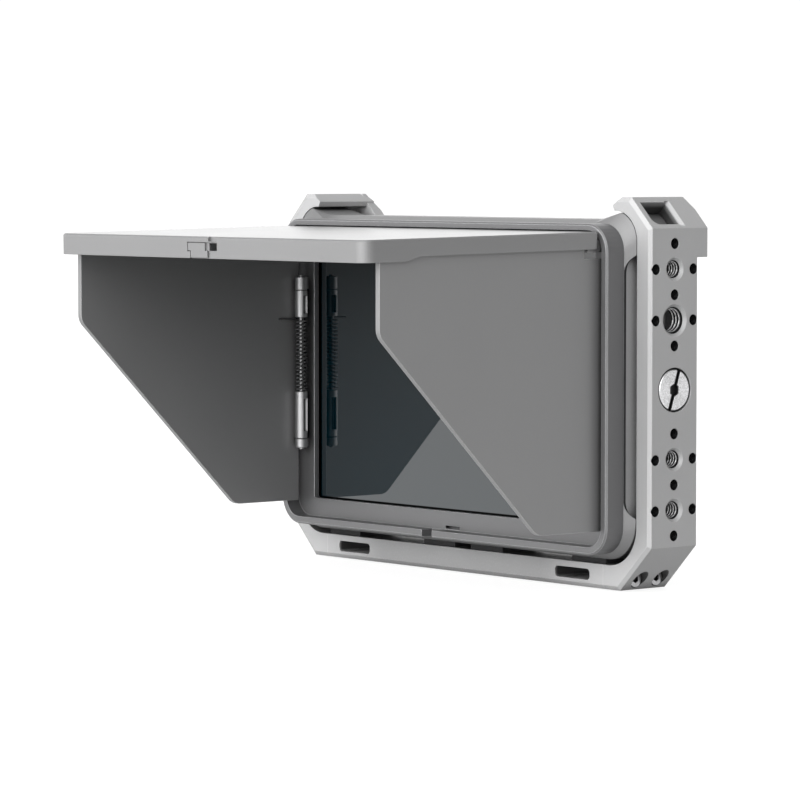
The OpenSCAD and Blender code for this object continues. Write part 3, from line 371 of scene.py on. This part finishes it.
looks = {
    # The cage carries painted shadow on its inner walls
    "cage": {**alloy, "colour": (0.425, 0.425, 0.428), "metal": 0.25, "rough": 0.5, "grainScale": 5200,
             "grainDepth": 0.000016, "speckScale": 1612, "edge": 0.0004, "wallShadowPainted": True},
    # The frame's edges carry a strong painted highlight
    "frame": {**alloy, "colour": (0.158, 0.158, 0.161), "rough": 0.42, "rubAndHighlight": 0.9, "bright": 3.6,
              "edge": 0.0004},
    "lid": {**alloy, "colour": (0.255, 0.255, 0.257), "metal": 0.4, "rough": 0.3, "dark": 0.75, "darker": 0.97,
            "lighter": 1.03},
    "flap": {**alloy, "colour": (0.272, 0.272, 0.274), "rough": 0.45, "rubAndHighlight": 0.9, "bright": 2.4},
    # Housing: its recess floors carry painted light
    "housing": {**alloy, "colour": (0.2, 0.2, 0.202), "metal": 0.4, "rough": 0.45, "recessFloorLight": (0.55, 0.55, 0.555),
                "litFloorIn": 0.0917, "litFloorOut": 0.0922, "litFloorFacing": 0.98},
    "thread": {"colour": (0.62, 0.62, 0.625), "paintedShade": (0.012, 0.012, 0.013), "metal": 0.8, "wearScale": 1800,
               "ragged": 0.3, "crest": 0.1, "valley": 0.55, "rough": 0.3, "roughWear": 0.1, "roughDeep": 0.3,
               "depth": 0.000006},
    "hinge": {"colour": (0.42, 0.42, 0.424), "rough": 0.36, "ringScale": 26000, "ringShare": 0.4,
              "scratchScale": 2600, "scratchStretch": 0.08, "toneRamp": (0.3, 0.7), "darker": 0.9,
              "lighter": 1.06, "depth": 0.000008, "edge": 0.00012, "reach": 0.0015, "openRamp": (0.1, 0.8),
              "dark": 0.8, "deepShade": 0.05, "roughScratch": 0.12, "roughRings": 0.05},
    "disc": {**faced, "colour": (0.78, 0.78, 0.79), "rough": 0.17, "ringScale": 21000, "smearScale": 900,
             "centreY": 0.0, "centreZ": 0.07155, "depth": 0.00001, "edge": 0.0002, "reach": 0.0025,
             "face": 0.1026, "rim": 0.0071},
    "screw": {**faced, "colour": (0.5, 0.5, 0.51), "rough": 0.26, "ringScale": 26000, "smearScale": 1400,
              "centreY": 0.005, "centreZ": 0.0039, "depth": 0.000008, "edge": 0.00012, "reach": 0.002,
              "face": 0.0883, "rim": 0.1},
    "nickel": {"colour": (0.52, 0.52, 0.53), "rough": 0.25, "grainScale": 3000, "toneRamp": (0.3, 0.7),
               "darker": 0.88, "lighter": 1.06, "depth": 0.000008, "edge": 0.00012, "reach": 0.003,
               "openRamp": (0.1, 0.8), "dark": 0.85, "deepShade": 0.05, "roughGrain": 0.12},
    "spring": {**oxide, "colour": (0.19, 0.19, 0.192), "rubbed": (0.36, 0.36, 0.362), "rubScale": 1500,
               "rough": 0.24, "depth": 0.00001, "between": 0.0006},
    # Black liners in the locating holes: painted shade
    "shadeLiner": {**oxide, "colour": (0.006, 0.006, 0.0065), "rubbed": (0.02, 0.02, 0.021), "rubScale": 2500,
               "rough": 0.45, "depth": 0.000005, "between": 0.0004},
    "plastic": {**moulded, "colour": (0.022, 0.022, 0.024), "cellScale": 3600, "cloudScale": 60, "rough": 0.52,
                "depth": 0.00003, "edge": 0.0003},
    "rubber": {**moulded, "colour": (0.014, 0.014, 0.015), "cellScale": 2200, "cloudScale": 90, "rough": 0.75,
               "depth": 0.00004, "edge": 0.0003},
    "button": {**moulded, "colour": (0.05, 0.05, 0.054), "cellScale": 5000, "cloudScale": 120, "rough": 0.4,
               "depth": 0.000015, "edge": 0.0004},
    "red": {**moulded, "colour": (0.42, 0.035, 0.025), "cellScale": 4200, "cloudScale": 120, "rough": 0.42,
            "depth": 0.00002, "edge": 0.0003},
    "light": {**moulded, "colour": (0.8, 0.8, 0.77), "cellScale": 1800, "cloudScale": 80, "rough": 0.6,
              "depth": 0.00002, "edge": 0.0002},
    "panel": {**moulded, "colour": (0.008, 0.01, 0.013), "cellScale": 5200, "cloudScale": 50, "rough": 0.2,
              "depth": 0.000005, "edge": 0.0002},
    "glass": {"colour": (0.0, 0.009, 0.014), "rough": 0.012, "ior": 1.95, "smearScale": 14,
              "smearRamp": (0.4, 0.8), "roughSmear": 0.015, "dust": (0.1, 0.105, 0.11), "dustScale": 3200,
              "dustRamp": (0.76, 0.84), "dustShare": 0.25, "roughDust": 0.08, "halfX": 0.0799, "halfZ": 0.049,
              "middle": 0.0718, "line": 0.0006, "lineFade": 0.0001, "roughLine": 0.3,
              "black": (0.002, 0.002, 0.002)},
    "board": {"colour": (0.02, 0.14, 0.055), "copper": (0.16, 0.3, 0.12), "trackScale": 2600,
              "trackRamp": (0.7, 0.8), "patchScale": 60, "patchFrom": 0.52, "rough": 0.35, "roughTracks": 0.1,
              "depth": 0.00004, "strength": 0.6},
    "gold": {"colour": (0.83, 0.61, 0.25), "rough": 0.2, "wipeScale": 2400, "wipeStretch": 0.1,
             "toneRamp": (0.4, 0.7), "darker": 0.85, "lighter": 1.0, "roughWipe": 0.2, "depth": 0.00002,
             "edge": 0.0001},
}

cageAlloy = blastedAlloy("cageAlloy", looks["cage"])
# The bar's alloy, with painted shadow of the hood darker across its middle
barShadedAlloy = blastedAlloy("barShadedAlloy", {**looks["cage"], "middleFrom": 0.045, "middleTo": 0.078, "middleShade": 0.59})
frameAlloy = blastedAlloy("frameAlloy", looks["frame"])
lidAlloy = blastedAlloy("lidAlloy", looks["lid"])
flapAlloy = blastedAlloy("flapAlloy", looks["flap"])
housingAlloy = blastedAlloy("housingAlloy", looks["housing"])
threadAlloy = cutThread("threadAlloy", looks["thread"])
hingeSteel = turnedSteel("hingeSteel", looks["hinge"])
discSteel = facedSteel("discSteel", looks["disc"])
screwSteel = facedSteel("screwSteel", looks["screw"])
nickel = satinNickel("nickel", looks["nickel"])
springSteel = oxideSteel("springSteel", looks["spring"])
shadeLinerSteel = oxideSteel("shadeLinerSteel", looks["shadeLiner"])
blackPlastic = mouldedPlastic("blackPlastic", looks["plastic"])
padRubber = mouldedPlastic("padRubber", looks["rubber"])
buttonPlastic = mouldedPlastic("buttonPlastic", looks["button"])
redPlastic = mouldedPlastic("redPlastic", looks["red"])
lightPlastic = mouldedPlastic("lightPlastic", looks["light"])
panelPlastic = mouldedPlastic("panelPlastic", looks["panel"])
coverGlass = screenGlass("coverGlass", looks["glass"])
greenBoard = solderMask("greenBoard", looks["board"])
goldPlate = plated("goldPlate", looks["gold"])
print("finishes made:", len(bpy.data.materials))

nodeFinish = {
    "bottom_bar": barShadedAlloy, "right_arm": cageAlloy, "left_arm": cageAlloy, "corner_screws": screwSteel,
    "disc_screws": discSteel, "bar_pads": padRubber, "hood_frame": frameAlloy, "lid": lidAlloy,
    "lid_brackets": frameAlloy, "lid_pins": hingeSteel, "lid_latch": lidAlloy, "left_flap": flapAlloy,
    "right_flap": flapAlloy, "left_sleeves": hingeSteel, "right_sleeves": hingeSteel, "left_knuckles": hingeSteel,
    "right_knuckles": hingeSteel, "left_pin": hingeSteel, "right_pin": hingeSteel, "left_spring": springSteel,
    "right_spring": springSteel, "housing": housingAlloy, "cover_glass": coverGlass, "display_panel": panelPlastic,
    "backlight": lightPlastic, "main_board": greenBoard, "rear_cover": blackPlastic, "cover_screws": nickel,
    "battery_plate": blackPlastic, "battery_contacts": goldPlate, "battery_release": redPlastic,
    "video_sockets": nickel, "power_socket": blackPlastic, "power_button": buttonPlastic,
}
for name, finish in nodeFinish.items():
    nodes[name].data.materials.clear()
    nodes[name].data.materials.append(finish)


# One mesh from grids of points (rows, columns, 3, or 4 with a mark from 0 to 1 for how sunk a point is). The
# columns run round and close. The rows close too, or else each end gets a flat cap. The sign of the volume
# about the middle turns the faces outwards.
def gridPiece(name, grids, finish, body, closed=True):
    verts, marks, faces, base = [], [], [], 0
    for grid in grids:
        points = grid[..., :3]
        rows, cols = points.shape[:2]
        index = np.arange(rows * cols).reshape(rows, cols)
        right, down = np.roll(index, -1, 1), np.roll(index, -1, 0)
        quads = np.stack([index, right, np.roll(right, -1, 0), down], -1)
        quads = (quads if closed else quads[:-1]).reshape(-1, 4)
        flat = points.reshape(-1, 3)
        a, b, c, d = (flat[quads[:, k]] - flat.mean(0) for k in range(4))
        inward = np.sum(np.cross(a, b) * c + np.cross(a, c) * d) < 0
        step = -1 if inward else 1
        faces += (quads[:, ::step] + base).tolist()
        if not closed:
            faces += [(index[0][::-step] + base).tolist(), (index[-1][::step] + base).tolist()]
        verts.append(flat)
        marks.append(grid[..., 3].ravel() if grid.shape[-1] > 3 else np.zeros(rows * cols))
        base += rows * cols
    mesh = bpy.data.meshes.new(name)
    mesh.from_pydata(np.concatenate(verts).tolist(), [], faces)
    sunk = mesh.attributes.new("sunk", "FLOAT", "POINT")
    sunk.data.foreach_set("value", np.concatenate(marks).astype(np.float32))
    mesh.materials.append(finish)
    mesh.update()
    piece = bpy.data.objects.new(name, mesh)
    bpy.context.scene.collection.objects.link(piece)
    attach(piece, body)
    return piece


threads = {
    "small": {"bore": 0.003175, "pitch": 0.00127, "height": 0.00062, "around": 96, "perPitch": 10},
    "large": {"bore": 0.0047625, "pitch": 0.0015875, "height": 0.00078, "around": 96, "perPitch": 10},
    "pilot": {"bore": 0.00195, "pitch": 0.0007, "height": 0.00026, "around": 36, "perPitch": 6},
    "armInner": 0.0957, "armOuter": 0.1015, "pilotInner": 0.0973, "pilotOuter": 0.1023, "skin": 0.00003,
    "places": [("large", 0.09605), ("small", 0.11405), ("small", 0.04705), ("small", 0.02905)],
    "pilotLine": [0.02005, 0.03805, 0.05605, 0.08705, 0.10505, 0.12305],
    "pilotPairs": [0.02905, 0.04705, 0.09605, 0.11405], "pilotAside": 0.009,
    "baseSpan": (0.0004, 0.0084), "basePilotSpan": (0.0003, 0.0053),
    "flank": 2.5, "valleyTop": 1.25, "fade": 0.4,
}


# Inner thread as a closed ring about Z: the radius is the bore less the height of a trapezium wave, which
# runs over the rise in pitches less the angle in turns, and which fades out over a share of the pitch at
# both ends
def threadTube(kind, low, high):
    size = threads[kind]
    steps = int((high - low) / size["pitch"] * size["perPitch"])
    angle = np.linspace(0, 2 * np.pi, size["around"], endpoint=False)[:, None]
    rise = np.linspace(low, high, steps)[None, :]
    turn = rise / size["pitch"] - angle / (2 * np.pi)
    wave = np.clip(threads["valleyTop"] - threads["flank"] * np.abs(turn - np.floor(turn) - 0.5), 0.0, 1.0)
    fade = np.clip(np.minimum(rise - low, high - rise) / (threads["fade"] * size["pitch"]), 0, 1)
    crest = (1 - wave) * fade
    inner = size["bore"] - threads["skin"] * 2 - size["height"] * crest
    radius = np.concatenate([inner, np.full((len(angle), 2), size["bore"] - threads["skin"])], 1)
    height = np.concatenate([np.broadcast_to(rise, inner.shape), np.tile([[high, low]], (len(angle), 1))], 1)
    # Valleys and end caps marked sunk, where the finishes paint shade
    sunk = np.concatenate([1 - crest, np.ones((len(angle), 2))], 1)
    return np.stack([radius * np.cos(angle), radius * np.sin(angle), height, sunk], -1)


# A tube turned from Z onto X and set at its place on the right or left arm: its height becomes x, and its
# own x counts down from z
def onArm(tube, side, y, z):
    return np.stack([tube[..., 2] * side, tube[..., 1] + y, z - tube[..., 0], tube[..., 3]], -1)


# The four accessory threads of one arm
def armThreads(side):
    return [onArm(threadTube(kind, threads["armInner"], threads["armOuter"]), side, 0, z)
            for kind, z in threads["places"]]


# Black threaded liners in the locating holes of one arm, painted shade for the dark inside the holes: six on the
# middle line, and four pairs beside it
def armShadeLiners(side):
    tube = threadTube("pilot", threads["pilotInner"], threads["pilotOuter"])
    spots = [(0, z) for z in threads["pilotLine"]]
    spots += [(s * threads["pilotAside"], z) for z in threads["pilotPairs"] for s in (-1, 1)]
    return [onArm(tube, side, y, z) for y, z in spots]


# Two black liners in the base's locating holes: painted shade
baseShadeLiners = [threadTube("pilot", *threads["basePilotSpan"]) + [s * threads["pilotAside"], 0, 0, 0]
               for s in (-1, 1)]
gridPiece("rightThreads", armThreads(1), threadAlloy, "cage")
gridPiece("leftThreads", armThreads(-1), threadAlloy, "cage")
gridPiece("baseThread", [threadTube("small", *threads["baseSpan"])], threadAlloy, "cage")
gridPiece("rightShadeLiners", armShadeLiners(1), shadeLinerSteel, "cage")
gridPiece("leftShadeLiners", armShadeLiners(-1), shadeLinerSteel, "cage")
gridPiece("baseShadeLiners", baseShadeLiners, shadeLinerSteel, "cage")
print("threads made")

# The dark line of shade round the housing's side recess, painted as a black strip
shadeStrip = {"floor": 0.092, "proud": 0.0003, "width": 0.0009, "front": -0.0147, "back": 0.0052, "middle": 0.0725,
        "half": 0.0481, "corner": 0.008, "arcSteps": 14, "inset": 0.0001}


# Black strip of painted shade lying round the recess in the housing's side, in the pads' rubber finish: a flat
# section carried along the top edge, round the front corners and back along the lower edge. The path is drawn
# in Y and Z, its inward side is the turned tangent, and the section has its width inwards and its height along X.
def shadeStripGrid(side):
    r, front, h = shadeStrip["corner"], shadeStrip["front"] + shadeStrip["inset"], shadeStrip["half"] - shadeStrip["inset"]
    turn = np.linspace(np.pi / 2, np.pi, shadeStrip["arcSteps"])
    upper = np.stack([front + r + r * np.cos(turn), h - r + r * np.sin(turn)], -1)
    line = np.concatenate([[[shadeStrip["back"], h]], upper, upper[::-1] * [1, -1], [[shadeStrip["back"], -h]]])
    way = np.gradient(line, axis=0)
    way /= np.linalg.norm(way, axis=1, keepdims=True)
    inward = np.stack([-way[:, 1], way[:, 0]], -1)
    far = line + inward * shadeStrip["width"]
    low, high = shadeStrip["floor"] - shadeStrip["inset"], shadeStrip["floor"] + shadeStrip["proud"]
    spots = [(line, low), (line, high), (far, high), (far, low)]
    return np.stack([np.column_stack([np.full(len(p), x * side), p[:, 0], p[:, 1] + shadeStrip["middle"]])
                     for p, x in spots], 1)


gridPiece("recessShadeStrips", [shadeStripGrid(1), shadeStripGrid(-1)], padRubber, "cage", closed=False)
print("shadeStrips made")

hinge = {"axis": (-0.0823, -0.0213), "barrel": 0.00235, "bore": 0.00094, "chamfer": 0.00022, "rim": 0.00004,
         "windowDepth": 0.0012, "windowFrom": math.radians(-16), "windowTo": math.radians(40),
         "sleeves": [(0.04585, 0.06385, (0.04865, 0.06105)), (0.09225, 0.10265, (0.0938, 0.1005))],
         "rings": [(0.04225, 0.04575, None), (0.10275, 0.10775, None)],
         "leafY": (-0.0219, -0.0205), "flapFace": -0.08555, "footX": (-0.0845, -0.0833), "border": -0.01685,
         "overlap": 0.0012, "shorter": 0.0002, "columns": 72, "edgeTurn": 0.01}


# Hinge barrel round the left axis: radius over angle and height, less the chamfers at both ends and less the
# depth of a window where angle and height lie between its edges. The bore closes it.
def barrelGrid(low, high, window):
    cut, rim = hinge["chamfer"], hinge["rim"]
    heights = [low, low + cut, high - cut, high]
    angles = np.linspace(-np.pi, np.pi, hinge["columns"], endpoint=False)
    if window:
        heights += [edge + step for edge in window for step in (-rim, rim)]
        edges = [turn + side * hinge["edgeTurn"] for turn in (hinge["windowFrom"], hinge["windowTo"])
                 for side in (-1, 1)]
        angles = np.sort(np.append(angles, edges))
    rise = np.array(sorted(heights)[::-1])[None, :]
    turn = angles[:, None]
    inside = np.zeros((len(angles), rise.shape[1]))
    if window:
        inside = ((rise > window[0]) & (rise < window[1]) & (turn > hinge["windowFrom"])
                  & (turn < hinge["windowTo"])).astype(float)
    ends = (np.minimum(rise - low, high - rise) < cut * 0.5) * cut
    outer = hinge["barrel"] - ends - inside * hinge["windowDepth"]
    radius = np.concatenate([np.full((len(angles), 2), hinge["bore"]), outer], 1)
    height = np.concatenate([np.tile([[low, high]], (len(angles), 1)), np.broadcast_to(rise, outer.shape)], 1)
    # Bore and window marked sunk, where the hinge steel paints shade
    sunk = np.concatenate([np.ones((len(angles), 2)), inside], 1)
    x, y = hinge["axis"]
    return np.stack([x + radius * np.cos(turn), y + radius * np.sin(turn), height, sunk], -1)


# Plain bar between two heights, from the corners of its section
def barGrid(x0, x1, y0, y1, low, high):
    corners = np.array([[x0, y0], [x1, y0], [x1, y1], [x0, y1]])
    return np.stack([np.column_stack([corners, np.full(4, z)]) for z in (low, high)])


centreX, centreY = hinge["axis"]
overlap, short = hinge["overlap"], hinge["shorter"]
leaves = [barGrid(hinge["flapFace"], centreX - overlap, *hinge["leafY"], low + short, high - short)
          for low, high, window in hinge["sleeves"]]
feet = [barGrid(*hinge["footX"], centreY + overlap, hinge["border"], low + short, high - short)
        for low, high, window in hinge["rings"]]
sleeveGrids = [barrelGrid(*sleeve) for sleeve in hinge["sleeves"]]
barrels = gridPiece("leftBarrels", sleeveGrids, hingeSteel, "left_flap")
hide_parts("left_sleeves")
gridPiece("leftLeaves", leaves, hingeSteel, "left_flap", closed=False)
ringGrids = [barrelGrid(*ring) for ring in hinge["rings"]]
rings = gridPiece("leftRings", ringGrids, hingeSteel, "cage")
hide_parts("left_knuckles")
gridPiece("leftFeet", feet, hingeSteel, "cage", closed=False)
print("hinge made")


# Floor, light and camera. The floor glows for the camera and, times mirrorShare, for mirrored rays.
stageLook = {"floorHalf": 6.0, "floorZ": -0.0004, "floorTone": 0.2, "floorRough": 0.85, "floorGlow": 0.85,
             "mirrorShare": 1.05, "grainScale": 900, "grainDepth": 0.00002, "grainStrength": 0.3}
half = stageLook["floorHalf"]
corners = [(-half, -half), (half, -half), (half, half), (-half, half)]
floorMesh = bpy.data.meshes.new("floor")
floorMesh.from_pydata([(x, y, stageLook["floorZ"]) for x, y in corners], [], [(0, 1, 2, 3)])
floor = bpy.data.objects.new("floor", floorMesh)
bpy.context.scene.collection.objects.link(floor)
floorGraph = Graph("floorPaint")
rays = floorGraph.node("ShaderNodeLightPath")
floorSeen = rays["Is Camera Ray"] + rays["Is Glossy Ray"] * stageLook["mirrorShare"]
floorGrain = floorGraph.noise(stageLook["grainScale"], detail=3.0)
floorMesh.materials.append(floorGraph.finish(
    Base_Color=stageLook["floorTone"], Roughness=stageLook["floorRough"], Emission_Color=floorSeen,
    Emission_Strength=stageLook["floorGlow"],
    Normal=floorGraph.bump(floorGrain, stageLook["grainDepth"], stageLook["grainStrength"])))

# The studio round the object: an even base and three lamp walls, each with its direction, power and strength.
# What the camera itself sees past the object is the plain white backdrop.
sky = {
    "base": 0.3, "backdrop": 1.05,
    "walls": [((0.17, -0.98, 0.25), 6.0, 4.5), ((-0.77, -0.64, 0.02), 20.0, 0.9),
              ((-0.77, 0.64, 0.08), 10.0, 1.65)],
}
world = bpy.data.worlds.new("studio")
bpy.context.scene.world = world
world.use_nodes = True
skyGraph = Graph.__new__(Graph)    # the same ways of making nodes, on the world's own tree
skyGraph.tree = world.node_tree
skyPlace = skyGraph.node("ShaderNodeTexCoord")["Generated"]


# Brightness of one lamp wall: strength times a power of half one plus the cosine to its direction
def skyWall(way, power, strength):
    way = np.array(way) / np.linalg.norm(way)
    dot = skyGraph.node("ShaderNodeVectorMath", {"operation": "DOT_PRODUCT"}, {0: skyPlace, 1: way.tolist()})
    return (dot["Value"] * 0.5 + 0.5) ** power * strength


lit = sky["base"]
for wall in sky["walls"]:
    lit = skyWall(*wall) + lit
seen = skyGraph.node("ShaderNodeLightPath")["Is Camera Ray"]
back = world.node_tree.nodes["Background"]
back.inputs["Color"].default_value = (1.0, 1.0, 1.0, 1.0)
world.node_tree.links.new((lit * (1 - seen) + seen * sky["backdrop"]).socket, back.inputs["Strength"])

lampAim = (0, -0.04, 0.07)
lamps = {
    "front": {"at": (-0.5, -1.3, 0.8), "size": 1.0, "power": 1.0},
    "top": {"at": (-0.3, 0.0, 1.6), "size": 1.4, "power": 0.5},
}
for name, lamp in lamps.items():
    data = bpy.data.lights.new(name, "AREA")
    data.shape, data.size, data.energy = "SQUARE", lamp["size"], lamp["power"]
    light = bpy.data.objects.new(name, data)
    bpy.context.scene.collection.objects.link(light)
    light.location = lamp["at"]
    aim = np.array(lampAim) - np.array(lamp["at"])
    tilt = math.acos(-aim[2] / np.linalg.norm(aim))
    light.rotation_euler = (tilt, 0, math.atan2(aim[1], aim[0]) - math.pi / 2)

lens = {"at": (1.13833, -0.98387, 0.15173), "azimuth": 50.347, "elevation": 3.361, "focal": 182.568,
        "sensor": 36.0, "near": 0.01, "far": 50.0}
cameraData = bpy.data.cameras.new("camera")
cameraData.lens, cameraData.sensor_width = lens["focal"], lens["sensor"]
cameraData.clip_start, cameraData.clip_end = lens["near"], lens["far"]
camera = bpy.data.objects.new("camera", cameraData)
bpy.context.scene.collection.objects.link(camera)
camera.location = lens["at"]
camera.rotation_euler = (math.radians(90 - lens["elevation"]), 0, math.radians(lens["azimuth"]))
bpy.context.scene.camera = camera
bpy.context.scene.view_settings.view_transform = "Standard"
print("stage made")
